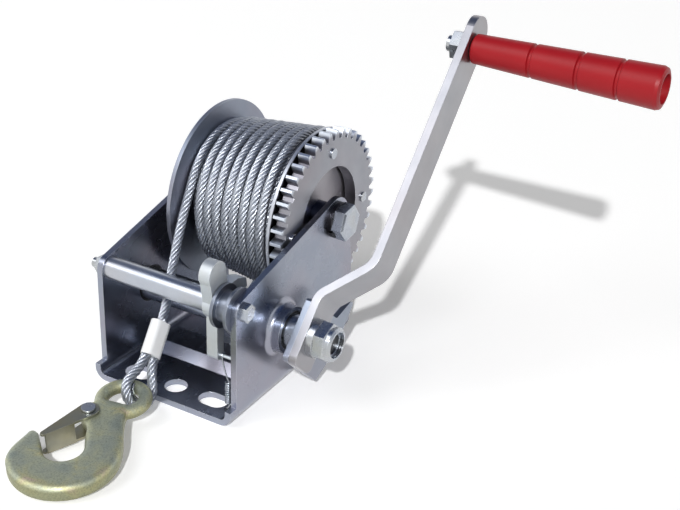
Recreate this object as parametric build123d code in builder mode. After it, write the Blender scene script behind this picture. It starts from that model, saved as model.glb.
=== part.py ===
"""Hand winch: bent sheet frame, geared rope drum, crank with turning grip, pawl, wire rope and eye hook.

Millimetres. +X runs along the drum axis towards the crank, +Y to the rear, +Z up.
The origin is the middle of the base slots, on the underside of the base.
"""

import os
from math import acos, asin, atan2, cos, hypot, pi, radians, sin, sqrt, tan

from build123d import *

# Clearances
run_gap = 0.4          # between pieces that move past each other
seat_gap = 0.3         # between still pieces that lie side by side
fit_gap = 0.05         # radial, pin in a hole
rest_gap = 0.15        # between a rope and what it lies on

# Frame, one bent sheet
sheet = 3.0
frame_width = 78.0
rear_edge = 51.0
base_lip = 5.0         # base in front of the plates
bend_radius = 3.0      # inside
notch_height = 8.0     # where the plates' front edges start
tie_corner = 6.5       # plate edge round the tie bolt
drum_corner = 11.0     # plate edge round the drum bolt
rear_corner_height = 40.0
slot_inset = 17.5      # middle of a slot from the outside of the plate
slot_spacing_y = 89.0
slot_length = 15.0
slot_width = 10.5
centre_hole = 11.0
rib_front = -25.0
rib_depth = 24.0
rib_height = 4.5
rib_corner = 3.0
rib_margin = 0.5       # between the rib and the bends
rib_wall = 1.0         # rib outside less rib inside
rib_slope = 48.0       # rib sides from the upright
collar_radius = 11.6
collar_bore = 9.4
collar_length = 6.5
collar_root = 3.0

# Axes, as Y and Z
pinion_y, pinion_z = -15.0, 34.0
tie_y, tie_z = -44.5, 55.8
mesh_angle = 35.4      # from the pinion up to the drum

# Gears
module = 2.0
gear_teeth = 42
pinion_teeth = 19
pressure_angle = 20.0
backlash = 0.5         # along the pitch circle, shared by both gears
tip_relief = 0.1
root_depth = 1.25      # below the pitch circle, in modules
root_lift = 0.3        # least straight part of a tooth flank at the root
gear_width = 6.0
gear_side_gap = 1.2    # to the right plate
gear_bore = 25.5
rivet_count = 4
rivet_circle = 33.0
rivet_radius = 2.6
rivet_shank = 1.6
rivet_head = 0.8
rivet_turn = 51.6      # first rivet from the line of the two gears
ratchet_teeth = 14
ratchet_radius = 17.8
ratchet_depth = 3.4
ratchet_width = 4.6
ratchet_span = 0.86    # share of a tooth that slopes
ratchet_land_drop, ratchet_land_angle = 0.6, 0.06
ratchet_hub = 11.5

# Drum and rope
flange_radius = 45.0
left_flange_sheet = 2.0
left_flange_room = 6.7     # from the left plate to the rope, for the flange and the rope clamp
right_flange_radius = 43.0
right_flange_sheet = 1.5
gear_spacer = 1.1          # between the right flange and the gear
drum_core_radius = 19.0
drum_core_wall = 2.0
drum_bush_radius = 7.0
rope = 4.8
turn_gap = 0.5             # least gap between turns
winding_left = 35.6        # middle of the rope on the left turn
winding_right = 40.1       # and on the right turn
last_turn_radius = 34.0
leave_angle = 153.0        # where the rope leaves the drum
last_turn_wrap = 240.0
clamp_circle, clamp_length, clamp_width, clamp_sheet = 26.0, 24.0, 11.0, 3.0
clamp_bolt_spacing, clamp_bolt_radius, clamp_bolt_height = 12.0, 3.5, 2.4

# Bolts, as thread radius, width across flats and head height
tie_thread, tie_flats, tie_head = 2.5, 8.0, 3.5
drum_thread, drum_flats, drum_head = 5.0, 16.0, 6.0
grip_thread, grip_flats, grip_head = 4.0, 13.0, 5.2
grip_head_radius = 6.4     # of the round bolt head with its hexagon socket
grip_socket, grip_socket_depth = 5.0, 3.0
nut_height = 1.7       # of a plain nut, in thread radii
thread_past_nut = 2.4
crown_height, crown_slope = 0.7, 60.0      # chamfered top of heads and nuts
drum_washer_radius, drum_washer_sheet = 9.0, 2.2
washer_slit = 1.6      # of the split lock washers
tie_tube_radius = 5.5

# Pawl, with Y and Z from the tie bolt
pawl_width = 5.8
pawl_side_room = 9.2   # from the pawl to the right plate, for its washers
pawl_bush_radius = 4.5
pawl_hub = 7.0
pawl_neck = 6.0        # half width under the head
pawl_head_y, pawl_head_z, pawl_head_radius = -2.9, 16.3, 6.4
pawl_tail_y, pawl_tail_z, pawl_tail_width = -1.3, -25.6, 5.0
pawl_nose = ((13.0, 7.6), (19.4, 5.0), (20.2, 0.2), (16.5, 0.0), (5.0, -4.5))
pawl_washer_radius = 10.5
pawl_washer_sheet = 1.6
pawl_washer_hub = 7.5
stud_radius = 0.8
stud_past_spring = 2.4

# Pawl spring
spring_radius = 1.3    # to the middle of the wire
spring_wire = 0.7
spring_turns = 10
spring_pitch = 1.2
spring_y = -46.0
spring_hole = 2.6
spring_hole_margin = 0.7   # from the bend of the sheet
spring_bottom = 5.2        # of the coil
spring_foot, spring_leg, spring_tail = 2.0, 3.0, 2.0
spring_wire_end = 0.8      # lower end above the table

# Pinion shaft and crank
shaft_radius = 8.0
bush_recess = 0.5      # bush end inside the collar
shaft_square = 11.4
square_corner = 1.5
shaft_thread = 5.0
clip_sheet = 1.2
clip_radius = 11.5
shaft_past_clip = 2.4
shoulder = 5.6         # shaft seen between the collar and the crank
hub_plate = 2.8
hub_outline = (
    (-15.5, 9.5), (15.5, 9.5), (15.5, -22.7), (31.8, -33.8),
    (10.0, -33.8), (2.0, -27.0), (-6.0, -31.0), (-15.5, -27.0),
)
hub_corner = 2.0
arm_sheet = 4.0
arm_offset = 20.1
arm_width = 19.0
arm_foot = 16.0        # arm below the shaft
arm_foot_corner = 4.0
arm_past_grip = 16.2
arm_bend_start = 19.0
arm_bend_run = 21.0
arm_bend_radius = 10.0
crank_angle = 46.5     # arm above the horizontal, to the rear
crank_radius = 156.5
crank_washer_radius = 9.2
crank_washer_sheet = 3.6
crank_nut_flats, crank_nut_height, crank_nut_collar = 17.0, 6.0, 2.6
collar_shrink, collar_edge = 0.3, 1.0      # nut collar inside the flats, and its chamfer
nut_pocket = 6.3       # radius of the open collar round the shaft end
shaft_end_recess = 2.2

# Grip
grip_length = 93.6
grip_small = 7.2
grip_large = 10.3
grip_edge = 0.8
grip_nose = ((2.4, 0.0), (0.7, 0.7), (0.0, 2.4))   # large end, as distance from the end and drop
grip_recess, grip_recess_play = 9.0, 0.6           # pocket for the bolt head
groove_places = (0.325, 0.577, 0.785)
groove_width = 2.2
groove_depth = 1.1
groove_slope = 0.5

# Rope end and hook, laid out in front of the base
lead_start, lead_end = 13.0, 9.0                   # straight rope at the drum and at the ferrule
lead_points = ((-23.2, -8.0, 63.8), (-20.4, -16.8, 53.0), (-17.0, -25.5, 44.6))
lead_bend = 0.45                                   # share of a run that a bend may fill
eye_centre = Vector(-5.9, -64.4, 9.9)
ferrule_bottom = Vector(-8.6, -52.3, 20.6)
ferrule_length, ferrule_width, ferrule_thickness = 16.9, 10.4, 6.6
eye_radius = 7.8
eye_leg_gap = 0.25
eye_side = Vector(-0.35, -0.72, 0.60)
thimble_sheet, thimble_width = 0.7, 3.6
thimble_cut = 1.0                                  # thimble end short of the eye's widest line
hook_centre = Vector(-7.2, -74.3, 9.3)
hook_way = Vector(0.172, -0.985, 0)
hook_tilt = 4.3
hook_ring, hook_ring_section = 10.0, 3.2

# Hook outline, drawn for a bowl of 24.5 and kept in step with it; x runs from the ring to the bowl
bowl_radius = 24.5
hook_scale = bowl_radius / 24.5
bowl_centre = Vector(44.9, -4.4) * hook_scale
bowl_start, bowl_end = 105.0, -57.0
throat_centre = Vector(42.3, -5.9) * hook_scale
throat_radius = 8.8 * hook_scale
throat_end = 118.0
tip_outer = Vector(35.4, -25.7) * hook_scale
tip_inner = Vector(37.5, -21.2) * hook_scale
tip_back = Vector(50.8, -27.0) * hook_scale
shank_right = [Vector(*point) * hook_scale for point in ((6.0, 6.6), (14.0, 8.2), (26.2, 14.2))]
shank_left = [
    Vector(*point) * hook_scale
    for point in ((30.6, -1.8), (25.0, -4.6), (21.5, -9.0), (17.8, -11.8), (12.5, -11.4), (6.0, -9.0))
]
tip_round = 2.3 * hook_scale
hook_edge = 2.2 * hook_scale
hook_thickness = 8.0
latch_pivot = Vector(17.8, -7.4) * hook_scale
latch_tip = Vector(39.4, -17.6) * hook_scale
latch_web = [Vector(*point) * hook_scale for point in ((28.2, -8.8), (39.6, -16.6))]
latch_root_radius = 4.8 * hook_scale
latch_tip_radius = 1.2 * hook_scale
latch_sheet = 1.2
latch_pin_radius = 1.9
latch_rivet_radius, latch_rivet_head = 3.2, 1.0

# What follows from the sizes above
half_width = frame_width / 2
inner_face = half_width - sheet
slot_spacing_x = frame_width - 2 * slot_inset
collar_end = half_width + collar_length
centre_distance = module * (gear_teeth + pinion_teeth) / 2
drum_y = pinion_y + centre_distance * cos(radians(mesh_angle))
drum_z = pinion_z + centre_distance * sin(radians(mesh_angle))
grip_y = pinion_y + crank_radius * cos(radians(crank_angle))
grip_z = pinion_z + crank_radius * sin(radians(crank_angle))
tie_axis = (tie_y, tie_z)
drum_axis = (drum_y, drum_z)
pinion_axis = (pinion_y, pinion_z)
grip_axis = (grip_y, grip_z)

gear_right = inner_face - gear_side_gap
gear_left = gear_right - gear_width
right_flange_face = gear_left - gear_spacer
drum_right = right_flange_face - right_flange_sheet
drum_left = left_flange_room + left_flange_sheet - inner_face
left_flange_face = drum_left - left_flange_sheet
rope_radius = rope / 2
lane_x = drum_left + run_gap + rope_radius
winding_end_x = drum_right - run_gap - rope_radius
winding_turns = int((winding_end_x - lane_x) / (rope + turn_gap)) - 1
winding_pitch = (winding_end_x - lane_x) / (winding_turns + 1)
winding_start_x = lane_x + winding_pitch

pawl_right = inner_face - pawl_side_room
pawl_left = pawl_right - pawl_width
plate_left = collar_end + shoulder
arm_left = plate_left + hub_plate
arm_right = arm_left + arm_sheet
nut_left = arm_right + crank_washer_sheet
nut_hex_end = nut_left + crank_nut_height
nut_end = nut_hex_end + crank_nut_collar
grip_arm_left = arm_left + arm_offset
grip_arm_right = grip_arm_left + arm_sheet
grip_left = grip_arm_right + run_gap


# Planes across the drum axis: local x is Y
def across(x, y=0.0, z=0.0, facing=1):
    """A plane at the given X that faces the crank side, or the other side, with its origin on an axis."""
    return Plane(origin=(x, y, z), x_dir=(0, 1, 0), z_dir=(facing, 0, 0))


def crank_plane(x):
    """A plane across the crank shaft with local x along the crank arm."""
    along = (0, cos(radians(crank_angle)), sin(radians(crank_angle)))
    return Plane(origin=(x, pinion_y, pinion_z), x_dir=along, z_dir=(1, 0, 0))


def polar(centre, radius, angle):
    """A sketch point at an angle in degrees on a circle."""
    return Vector(centre.X + radius * cos(radians(angle)), centre.Y + radius * sin(radians(angle)))


def flat(point):
    """The two sketch coordinates of a vector."""
    return (point.X, point.Y)


# Curves that wind: points with directions, joined by pairs of tangent arcs
def arc_joint(start, way, end, way_out):
    """The point where two tangent arcs of equal reach meet between two ends."""
    chord = end - start
    both = way + way_out
    spread = 2 * (1 - way.dot(way_out))
    lean = chord.dot(both)
    if spread < 1e-9:
        reach = chord.dot(chord) / (2 * lean)
    else:
        reach = (sqrt(lean * lean + spread * chord.dot(chord)) - lean) / spread
    return (start + end + (way - way_out) * reach) * 0.5


def wind(stations):
    """Lay tangent arcs through the stations of a BuildLine, each a point with its direction."""
    for (start, way), (end, way_out) in zip(stations, stations[1:]):
        joint = arc_joint(start, way, end, way_out)
        first = TangentArc(start, joint, tangent=way)
        TangentArc(joint, end, tangent=first % 1)


def helix_station(turn, centre, start_radius, end_radius, start_x, pitch, turns):
    """Point and direction on a winding about an X axis, a number of turns from its start."""
    angle = 2 * pi * turn
    grow = (end_radius - start_radius) / turns
    radius = start_radius + grow * turn
    point = Vector(start_x + pitch * turn, centre[0] + radius * cos(angle), centre[1] + radius * sin(angle))
    way = Vector(
        pitch / (2 * pi),
        -radius * sin(angle) + grow / (2 * pi) * cos(angle),
        radius * cos(angle) + grow / (2 * pi) * sin(angle),
    )
    return point, way.normalized()


def coil_station(turn, x, y, bottom):
    """Point and direction on an upright spring coil."""
    angle = 2 * pi * turn
    point = Vector(
        x + spring_radius * cos(angle),
        y + spring_radius * sin(angle),
        bottom + spring_pitch * turn,
    )
    way = Vector(-spring_radius * sin(angle), spring_radius * cos(angle), spring_pitch / (2 * pi))
    return point, way.normalized()


def least_gap(points, wire, skip):
    """Smallest gap between stretches of a wound wire that are at least skip points apart."""
    least = 1e9
    for i, point in enumerate(points):
        for other in points[i + skip:]:
            least = min(least, (point - other).length - wire)
    return least


def sag_radii(points):
    """Bend radii that fill a share of the shorter run on each side of every bend."""
    radii = []
    for before, corner, after in zip(points, points[1:], points[2:]):
        run_in = corner - before
        run_out = after - corner
        half_turn = acos(min(1.0, run_in.normalized().dot(run_out.normalized()))) / 2
        radii.append(lead_bend * min(run_in.length, run_out.length) / tan(half_turn))
    return radii


# Gear teeth
def involute(base, radius):
    """Polar angle that an involute has turned by when it reaches a radius."""
    roll = sqrt(max((radius / base) ** 2 - 1, 0))
    return roll - atan2(roll, 1)


def gear_outline(teeth, turn):
    """Edges of a spur gear with a tooth centred on the given angle in degrees."""
    pitch_r = module * teeth / 2
    base = pitch_r * cos(radians(pressure_angle))
    tip = pitch_r + module - tip_relief
    root = pitch_r - root_depth * module
    foot = max(base, root + root_lift)
    middle = (foot + tip) / 2
    half_tooth = pi / (2 * teeth) - backlash / (4 * pitch_r) + involute(base, pitch_r)
    half_foot = half_tooth - involute(base, foot)
    gap = 2 * pi / teeth

    def at(radius, angle):
        return (radius * cos(angle), radius * sin(angle))

    with BuildLine() as outline:
        for tooth in range(teeth):
            centre = radians(turn) + tooth * gap
            near = centre - half_tooth
            far = centre + half_tooth
            Line(at(root, centre - half_foot), at(foot, centre - half_foot))
            ThreePointArc(
                at(foot, near + involute(base, foot)),
                at(middle, near + involute(base, middle)),
                at(tip, near + involute(base, tip)),
            )
            Line(at(tip, near + involute(base, tip)), at(tip, far - involute(base, tip)))
            ThreePointArc(
                at(tip, far - involute(base, tip)),
                at(middle, far - involute(base, middle)),
                at(foot, far - involute(base, foot)),
            )
            Line(at(foot, centre + half_foot), at(root, centre + half_foot))
            Line(at(root, centre + half_foot), at(root, centre + gap - half_foot))
    return outline.edges()


def ratchet_outline(teeth, radius, depth):
    """Edges of a saw-toothed wheel, each tooth with a short land behind its tip."""
    land = radius - ratchet_land_drop
    root = radius - depth
    with BuildLine() as outline:
        corners = []
        for tooth in range(teeth):
            start = 2 * pi * tooth / teeth
            back = start + ratchet_land_angle
            end = start + 2 * pi / teeth * ratchet_span
            corners.append((radius * cos(start), radius * sin(start)))
            corners.append((land * cos(back), land * sin(back)))
            corners.append((root * cos(end), root * sin(end)))
        Polyline(*corners, close=True)
    return outline.edges()


# Turned and hexagonal shapes along X, added to the piece that is being built
def rod(x_from, x_to, centre, radius, mode=Mode.ADD):
    """A round bar, or a round hole."""
    with BuildSketch(across(x_from, *centre)) as face:
        Circle(radius)
    extrude(face.sketch, amount=x_to - x_from, mode=mode)


def hexagon(seat, top, centre, flats, turn=0.0):
    """A bolt head or nut body from its seat to its chamfered top."""
    facing = 1 if top > seat else -1
    shoulder_x = top - facing * crown_height
    with BuildSketch(across(seat, *centre, facing)) as face:
        RegularPolygon(radius=flats / 2, side_count=6, major_radius=False, rotation=turn)
    extrude(face.sketch, amount=abs(shoulder_x - seat))
    with BuildSketch(across(shoulder_x, *centre, facing)) as crown:
        RegularPolygon(radius=flats / 2, side_count=6, major_radius=False, rotation=turn)
    extrude(crown.sketch, amount=crown_height, taper=crown_slope)


def split_washer(x_from, x_to, centre, radius, bore, slit_angle):
    """A spring lock washer."""
    with BuildSketch(across(x_from, *centre)) as face:
        Circle(radius)
        Circle(bore, mode=Mode.SUBTRACT)
        with PolarLocations(radius, 1, start_angle=slit_angle):
            Rectangle(2 * (radius - bore) + washer_slit, washer_slit, mode=Mode.SUBTRACT)
    extrude(face.sketch, amount=x_to - x_from)


def turned(x, centre, profile):
    """A turned shape from a closed profile of (distance along X, radius) corners."""
    plane = Plane(origin=(x, *centre), x_dir=(1, 0, 0), z_dir=(0, -1, 0))
    with BuildSketch(plane) as face:
        with BuildLine():
            Polyline(*profile, close=True)
        make_face()
    revolve(face.sketch, axis=Axis((x, *centre), (1, 0, 0)))


os.makedirs("parts", exist_ok=True)

# Frame channel: a U section bent from sheet, trimmed to the side outline
tie_point = Vector(tie_y, tie_z)
drum_point = Vector(drum_y, drum_z)
tie_to_drum = drum_point - tie_point
edge_rise = atan2(tie_to_drum.Y, tie_to_drum.X) + asin((drum_corner - tie_corner) / tie_to_drum.length)
edge_normal = Vector(-sin(edge_rise), cos(edge_rise))
top_front = tie_point + edge_normal * tie_corner
top_rear = drum_point + edge_normal * drum_corner
rear_foot = Vector(rear_edge, rear_corner_height)
to_foot = rear_foot - drum_point
rear_angle = atan2(to_foot.Y, to_foot.X) + acos(drum_corner / to_foot.length)
rear_top = drum_point + Vector(cos(rear_angle), sin(rear_angle)) * drum_corner
corner_angle = (pi + pi / 2 + edge_rise) / 2
corner_middle = tie_point + Vector(cos(corner_angle), sin(corner_angle)) * tie_corner
plate_front = tie_y - tie_corner
base_front = plate_front - base_lip
plate_top = drum_z + 2 * drum_corner
spring_x = inner_face - bend_radius - spring_hole_margin - spring_hole / 2
spring_foot_y = spring_y - spring_radius

with BuildPart() as frame_channel:
    with BuildSketch(Plane.XZ):
        with BuildLine():
            FilletPolyline(
                (-half_width, plate_top),
                (-half_width, 0),
                (half_width, 0),
                (half_width, plate_top),
                radius=bend_radius + sheet,
            )
            offset(amount=sheet, side=Side.LEFT)
        make_face()
    extrude(amount=rear_edge - base_front, both=True)
    with BuildSketch(Plane.YZ):
        with BuildLine():
            Polyline(
                (rear_edge, 0),
                (base_front, 0),
                (base_front, notch_height),
                (plate_front, notch_height),
                (plate_front, tie_z),
            )
            ThreePointArc((plate_front, tie_z), flat(corner_middle), flat(top_front))
            Line(flat(top_front), flat(top_rear))
            TangentArc(flat(top_rear), flat(rear_top), tangent=(cos(edge_rise), sin(edge_rise)))
            Polyline(flat(rear_top), flat(rear_foot), (rear_edge, 0))
        make_face()
    extrude(amount=frame_width, both=True, mode=Mode.INTERSECT)
    # Pressed rib across the base
    rib_width = 2 * (inner_face - bend_radius - rib_margin)
    rib_middle = rib_front + rib_depth / 2
    with BuildSketch(Plane.XY.offset(sheet)):
        with Locations((0, rib_middle)):
            RectangleRounded(rib_width, rib_depth, rib_corner)
    extrude(amount=rib_height, taper=rib_slope)
    with BuildSketch(Plane.XY):
        with Locations((0, rib_middle)):
            RectangleRounded(rib_width - 2 * rib_wall, rib_depth - 2 * rib_wall, rib_corner - rib_wall)
    extrude(amount=rib_height, taper=rib_slope, mode=Mode.SUBTRACT)
    # Drawn collars for the shaft
    for side in (-1, 1):
        rod(side * half_width, side * collar_end, pinion_axis, collar_radius)
    root_edges = [
        edge
        for edge in frame_channel.edges().filter_by(GeomType.CIRCLE)
        if abs(edge.radius - collar_radius) < 0.01 and abs(abs(edge.center().X) - half_width) < 0.01
    ]
    fillet(root_edges, radius=collar_root)
    rod(-collar_end, collar_end, pinion_axis, collar_bore, mode=Mode.SUBTRACT)
    rod(-collar_end, collar_end, tie_axis, tie_thread + fit_gap, mode=Mode.SUBTRACT)
    rod(-collar_end, collar_end, drum_axis, drum_thread + fit_gap, mode=Mode.SUBTRACT)
    # Fixing slots, round holes and the spring hole in the base
    with BuildSketch(Plane.XY):
        with GridLocations(slot_spacing_x, slot_spacing_y, 2, 2):
            SlotOverall(slot_length, slot_width)
        with GridLocations(1, slot_spacing_y, 1, 2):
            Circle(centre_hole / 2)
        with Locations((spring_x, spring_foot_y)):
            Circle(spring_hole / 2)
    extrude(amount=2 * sheet, mode=Mode.SUBTRACT)
frame_channel.part.label = "frame_channel"
export_step(frame_channel.part, "parts/frame_channel.step")

# Front tie: a bolt, a nut, a tube on the left and the pawl stack on the right
tube_end = pawl_left - seat_gap
stack_left = pawl_right + run_gap
tie_nut_end = -half_width - nut_height * tie_thread

with BuildPart() as tie_bolt:
    rod(tie_nut_end - thread_past_nut, half_width, tie_axis, tie_thread)
    hexagon(half_width, half_width + tie_head, tie_axis, tie_flats, turn=12)
tie_bolt.part.label = "tie_bolt"
export_step(tie_bolt.part, "parts/tie_bolt.step")

with BuildPart() as tie_nut:
    hexagon(-half_width, tie_nut_end, tie_axis, tie_flats, turn=5)
    rod(tie_nut_end, -half_width, tie_axis, tie_thread + fit_gap, mode=Mode.SUBTRACT)
tie_nut.part.label = "tie_nut"
export_step(tie_nut.part, "parts/tie_nut.step")

with BuildPart() as tie_spacer_tube:
    rod(-inner_face, tube_end, tie_axis, tie_tube_radius)
    rod(-inner_face, tube_end, tie_axis, tie_thread + fit_gap, mode=Mode.SUBTRACT)
tie_spacer_tube.part.label = "tie_spacer_tube"
export_step(tie_spacer_tube.part, "parts/tie_spacer_tube.step")

with BuildPart() as pawl_bush:
    rod(tube_end, stack_left, tie_axis, pawl_bush_radius)
    rod(tube_end, stack_left, tie_axis, tie_thread + fit_gap, mode=Mode.SUBTRACT)
pawl_bush.part.label = "pawl_bush"
export_step(pawl_bush.part, "parts/pawl_bush.step")

with BuildPart() as pawl_washers:
    rod(stack_left, stack_left + pawl_washer_sheet, tie_axis, pawl_washer_radius)
    rod(stack_left, inner_face, tie_axis, pawl_washer_hub)
    rod(inner_face - pawl_washer_sheet, inner_face, tie_axis, pawl_washer_radius)
    rod(stack_left, inner_face, tie_axis, tie_thread + fit_gap, mode=Mode.SUBTRACT)
pawl_washers.part.label = "pawl_washers"
export_step(pawl_washers.part, "parts/pawl_washers.step")

# Pawl: a flat lever with thumb head, nose to the rear and a tail with a stud for the spring
stud_y, stud_z = tie_y + pawl_tail_y, tie_z + pawl_tail_z

with BuildPart() as pawl:
    with BuildSketch(across(pawl_left, *tie_axis)):
        Circle(pawl_hub)
        with BuildLine():
            Polyline(
                (-pawl_neck, 0),
                (pawl_head_y - pawl_neck, pawl_head_z),
                (pawl_head_y + pawl_neck, pawl_head_z),
                (pawl_hub, 0),
                close=True,
            )
        make_face()
        with Locations((pawl_head_y, pawl_head_z)):
            Circle(pawl_head_radius)
        with Locations((pawl_tail_y, pawl_tail_z)):
            Circle(pawl_tail_width / 2)
        with Locations((pawl_tail_y, pawl_tail_z / 2)):
            Rectangle(pawl_tail_width, -pawl_tail_z)
        with BuildLine():
            Polyline((0, pawl_hub), *pawl_nose, close=True)
        make_face()
        Circle(pawl_bush_radius + fit_gap, mode=Mode.SUBTRACT)
    extrude(amount=pawl_width)
    rod(pawl_left, spring_x + stud_past_spring, (stud_y, stud_z), stud_radius)
pawl.part.label = "pawl"
export_step(pawl.part, "parts/pawl.step")

# Pawl spring: hangs in the base hole and hooks over the stud
up = Vector(0, 0, 1)
hook_reach = stud_radius + spring_wire / 2 + seat_gap
spring_top = spring_bottom + spring_turns * spring_pitch
coil_place = (spring_x, spring_y, spring_bottom)
coil = [coil_station(step / 2, *coil_place) for step in range(2 * spring_turns + 1)]
foot_top = Vector(spring_x, spring_foot_y, spring_bottom - spring_foot)
leg_start = Vector(spring_x, stud_y - hook_reach, spring_top + spring_leg)
hook_start = Vector(spring_x, stud_y - hook_reach, stud_z)
hook_end = Vector(spring_x, stud_y + hook_reach, stud_z)

with BuildPart() as pawl_spring:
    with BuildLine() as wire:
        Line(Vector(spring_x, spring_foot_y, spring_wire_end), foot_top)
        wind([(foot_top, up)] + coil + [(leg_start, up)])
        Line(leg_start, hook_start)
        wind([(hook_start, up), (hook_end, -up)])
        Line(hook_end, hook_end - up * spring_tail)
    with BuildSketch(Plane(origin=wire.line @ 0, z_dir=wire.line % 0)):
        Circle(spring_wire / 2)
    sweep()
pawl_spring.part.label = "pawl_spring"
export_step(pawl_spring.part, "parts/pawl_spring.step")
spring_points = [coil_station(step / 24, *coil_place)[0] for step in range(24 * spring_turns + 1)]
print("pawl spring least gap", round(least_gap(spring_points, spring_wire, 12), 2))

# Drum axle: a bolt with lock washer and nut
drum_head_left = half_width + drum_washer_sheet
drum_nut_end = -half_width - nut_height * drum_thread

with BuildPart() as drum_bolt:
    rod(drum_nut_end - thread_past_nut, drum_head_left, drum_axis, drum_thread)
    hexagon(drum_head_left, drum_head_left + drum_head, drum_axis, drum_flats, turn=8)
drum_bolt.part.label = "drum_bolt"
export_step(drum_bolt.part, "parts/drum_bolt.step")

with BuildPart() as drum_lock_washer:
    split_washer(half_width, drum_head_left, drum_axis, drum_washer_radius, drum_thread + fit_gap, 200)
drum_lock_washer.part.label = "drum_lock_washer"
export_step(drum_lock_washer.part, "parts/drum_lock_washer.step")

with BuildPart() as drum_nut:
    hexagon(-half_width, drum_nut_end, drum_axis, drum_flats, turn=20)
    rod(drum_nut_end, -half_width, drum_axis, drum_thread + fit_gap, mode=Mode.SUBTRACT)
drum_nut.part.label = "drum_nut"
export_step(drum_nut.part, "parts/drum_nut.step")

# Shaft bushes in the drawn collars
bush_end = collar_end - bush_recess

with BuildPart() as left_shaft_bush:
    rod(-bush_end, -inner_face, pinion_axis, collar_bore - fit_gap)
    rod(-bush_end, -inner_face, pinion_axis, shaft_radius + fit_gap, mode=Mode.SUBTRACT)
left_shaft_bush.part.label = "left_shaft_bush"
export_step(left_shaft_bush.part, "parts/left_shaft_bush.step")

with BuildPart() as right_shaft_bush:
    rod(inner_face, bush_end, pinion_axis, collar_bore - fit_gap)
    rod(inner_face, bush_end, pinion_axis, shaft_radius + fit_gap, mode=Mode.SUBTRACT)
right_shaft_bush.part.label = "right_shaft_bush"
export_step(right_shaft_bush.part, "parts/right_shaft_bush.step")

# Drum: bush, core tube, flanges and the riveted gear ring
with BuildPart() as drum_bush:
    rod(-inner_face + run_gap, inner_face - run_gap, drum_axis, drum_bush_radius)
    rod(-inner_face, inner_face, drum_axis, drum_thread + fit_gap, mode=Mode.SUBTRACT)
drum_bush.part.label = "drum_bush"
export_step(drum_bush.part, "parts/drum_bush.step")

with BuildPart() as drum_core:
    rod(drum_left, drum_right, drum_axis, drum_core_radius)
    rod(drum_left, drum_right, drum_axis, drum_core_radius - drum_core_wall, mode=Mode.SUBTRACT)
drum_core.part.label = "drum_core"
export_step(drum_core.part, "parts/drum_core.step")

with BuildPart() as left_flange:
    rod(left_flange_face, drum_left, drum_axis, flange_radius)
    rod(left_flange_face, drum_left, drum_axis, drum_bush_radius + fit_gap, mode=Mode.SUBTRACT)
left_flange.part.label = "left_flange"
export_step(left_flange.part, "parts/left_flange.step")

rivet_angles = [mesh_angle + rivet_turn + 360 / rivet_count * number for number in range(rivet_count)]
rivet_centres = [
    (drum_y + rivet_circle * cos(radians(angle)), drum_z + rivet_circle * sin(radians(angle)))
    for angle in rivet_angles
]

with BuildPart() as right_flange:
    rod(drum_right, right_flange_face, drum_axis, right_flange_radius)
    rod(drum_right, right_flange_face, drum_axis, drum_bush_radius + fit_gap, mode=Mode.SUBTRACT)
    for centre in rivet_centres:
        rod(drum_right, right_flange_face, centre, rivet_shank + fit_gap, mode=Mode.SUBTRACT)
right_flange.part.label = "right_flange"
export_step(right_flange.part, "parts/right_flange.step")

gear_turn = mesh_angle + 180 + 180 / gear_teeth

with BuildPart() as drum_gear:
    with BuildSketch(across(gear_left, *drum_axis)):
        make_face(gear_outline(gear_teeth, gear_turn))
        Circle(gear_bore, mode=Mode.SUBTRACT)
    extrude(amount=gear_width)
    for centre in rivet_centres:
        rod(gear_left, gear_right, centre, rivet_shank + fit_gap, mode=Mode.SUBTRACT)
drum_gear.part.label = "drum_gear"
export_step(drum_gear.part, "parts/drum_gear.step")

# Each rivet has a shoulder that keeps the gear off the flange
for number, centre in enumerate(rivet_centres, start=1):
    with BuildPart() as gear_rivet:
        rod(drum_right, gear_right, centre, rivet_shank)
        rod(right_flange_face, gear_left, centre, rivet_radius)
        rod(gear_right, gear_right + rivet_head, centre, rivet_radius)
    gear_rivet.part.label = f"gear_rivet_{number}"
    export_step(gear_rivet.part, f"parts/gear_rivet_{number}.step")

# Rope on the drum: plain inner layers, the outer layer as one winding, and its clamp
winding_back = winding_left - rope_radius - rest_gap
winding_back_right = winding_right - rope_radius - rest_gap
lane_back = last_turn_radius - rope_radius - run_gap
lane_edge = winding_start_x - rope_radius - rest_gap

with BuildPart() as rope_inner_layers:
    turned(
        0,
        drum_axis,
        (
            (drum_left, drum_core_radius + fit_gap),
            (drum_left, lane_back),
            (lane_edge, lane_back),
            (lane_edge, winding_back),
            (winding_start_x, winding_back),
            (winding_end_x, winding_back_right),
            (drum_right, winding_back_right),
            (drum_right, drum_core_radius + fit_gap),
        ),
    )
rope_inner_layers.part.label = "rope_inner_layers"
export_step(rope_inner_layers.part, "parts/rope_inner_layers.step")

winding = (drum_axis, winding_left, winding_right, winding_start_x, winding_pitch, winding_turns)
loops = [helix_station(step / 4, *winding) for step in range(4 * winding_turns + 1)]
first_point, first_way = loops[0]
last_point, last_way = loops[-1]

with BuildPart() as rope_winding:
    with BuildLine() as wire:
        Line(first_point - first_way * rope, first_point)
        wind(loops)
        Line(last_point, last_point + last_way * rope)
    with BuildSketch(Plane(origin=wire.line @ 0, z_dir=wire.line % 0)):
        Circle(rope_radius)
    sweep()
rope_winding.part.label = "rope_winding"
export_step(rope_winding.part, "parts/rope_winding.step")
loop_points = [helix_station(step / 48, *winding)[0] for step in range(48 * winding_turns + 1)]
print("winding least gap", round(least_gap(loop_points, rope, 24), 2))

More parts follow.
